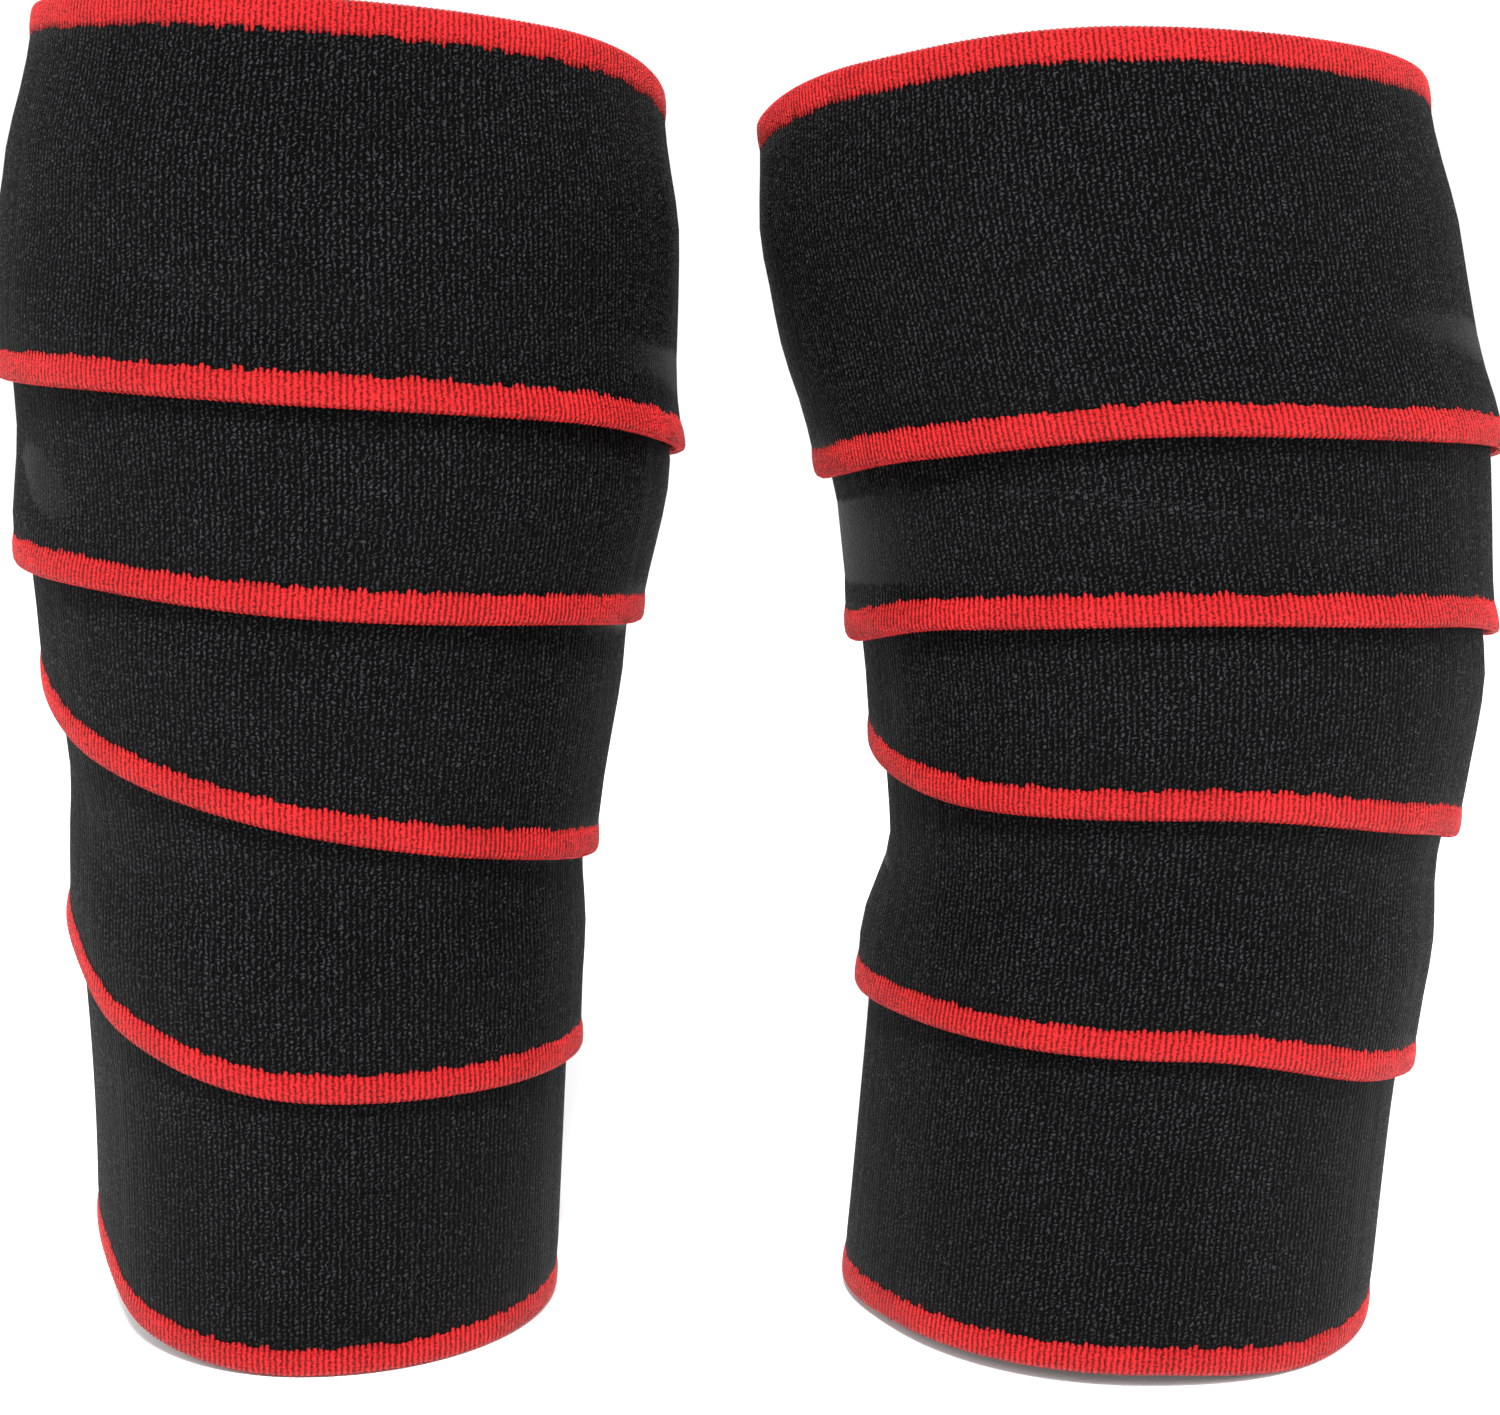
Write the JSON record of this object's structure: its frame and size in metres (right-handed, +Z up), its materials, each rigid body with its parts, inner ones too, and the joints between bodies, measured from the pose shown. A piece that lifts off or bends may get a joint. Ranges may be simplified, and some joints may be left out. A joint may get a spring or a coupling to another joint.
{
  "type": "knee wrap pair",
  "caption": "Pair of elastic knee wraps, each a knitted strip with contrast edges wound into a standing leg sleeve and closed by a hook-and-loop tab.",
  "frame": {"origin": "on the floor, in the middle of the pair's box", "axes": "+X along the pair from the left wrap to the right wrap, +Y to the back where the tabs close, +Z up along the legs"},
  "size_m": [0.3385, 0.1607, 0.2985],
  "materials": {
    "outer_knit": "matte ribbed elastic knit with a faint sheen",
    "inner_knit": "matte plain elastic knit",
    "red_selvedge": "satin ribbed yarn edge",
    "rubber_thread": "matte latex thread",
    "black_binding": "woven tape",
    "sewing_thread": "twisted polyester thread",
    "hook_tape": "moulded nylon hooks on a woven base",
    "loop_tape": "brushed nylon loop pile"
  },
  "bodies": {
    "left_wrap": {"left_loop_patch": "loop_tape", "left_start_binding": "black_binding", "left_start_binding_stitches": "sewing_thread", "left_strip_inner_knit": "inner_knit", "left_strip_lower_selvedge": "red_selvedge", "left_strip_outer_knit": "outer_knit", "left_strip_rubber_threads": "rubber_thread", "left_strip_upper_selvedge": "red_selvedge"},
    "left_tail": {"left_tail_inner_knit": "inner_knit", "left_tail_lower_selvedge": "red_selvedge", "left_tail_outer_knit": "outer_knit", "left_tail_rubber_threads": "rubber_thread", "left_tail_upper_selvedge": "red_selvedge"},
    "left_tab": {"left_hook_patch": "hook_tape", "left_hook_patch_stitches": "sewing_thread", "left_tab_end_binding": "black_binding", "left_tab_end_binding_stitches": "sewing_thread", "left_tab_inner_knit": "inner_knit", "left_tab_lower_selvedge": "red_selvedge", "left_tab_outer_knit": "outer_knit", "left_tab_rubber_threads": "rubber_thread", "left_tab_upper_selvedge": "red_selvedge"},
    "right_wrap": {"right_loop_patch": "loop_tape", "right_start_binding": "black_binding", "right_start_binding_stitches": "sewing_thread", "right_strip_inner_knit": "inner_knit", "right_strip_lower_selvedge": "red_selvedge", "right_strip_outer_knit": "outer_knit", "right_strip_rubber_threads": "rubber_thread", "right_strip_upper_selvedge": "red_selvedge"},
    "right_tail": {"right_tail_inner_knit": "inner_knit", "right_tail_lower_selvedge": "red_selvedge", "right_tail_outer_knit": "outer_knit", "right_tail_rubber_threads": "rubber_thread", "right_tail_upper_selvedge": "red_selvedge"},
    "right_tab": {"right_hook_patch": "hook_tape", "right_hook_patch_stitches": "sewing_thread", "right_tab_end_binding": "black_binding", "right_tab_end_binding_stitches": "sewing_thread", "right_tab_inner_knit": "inner_knit", "right_tab_lower_selvedge": "red_selvedge", "right_tab_outer_knit": "outer_knit", "right_tab_rubber_threads": "rubber_thread", "right_tab_upper_selvedge": "red_selvedge"}
  },
  "joints": [
    {"name": "right_wrap_lift", "type": "slide", "parent": "left_wrap", "child": "right_wrap", "axis": [0, 0, 1], "range_m": [0, 0.3]},
    {"name": "left_tail_peel", "type": "hinge", "parent": "left_wrap", "child": "left_tail", "pos_m": [-0.15901, 0.03033, 0.25784], "axis": [0.1606, -0.0749, 0.9842], "range_deg": [0, 60]},
    {"name": "left_tab_peel", "type": "hinge", "parent": "left_tail", "child": "left_tab", "pos_m": [-0.111, 0.07438, 0.25421], "axis": [0.0379, -0.1414, 0.9892], "range_deg": [0, 70]},
    {"name": "right_tail_peel", "type": "hinge", "parent": "right_wrap", "child": "right_tail", "pos_m": [0.0115, 0.0316, 0.23665], "axis": [-0.1432, 0.0668, 0.9874], "range_deg": [0, 60]},
    {"name": "right_tab_peel", "type": "hinge", "parent": "right_tail", "child": "right_tab", "pos_m": [0.06013, 0.07702, 0.24247], "axis": [0.0083, -0.0309, 0.9995], "range_deg": [0, 70]}
  ]
}
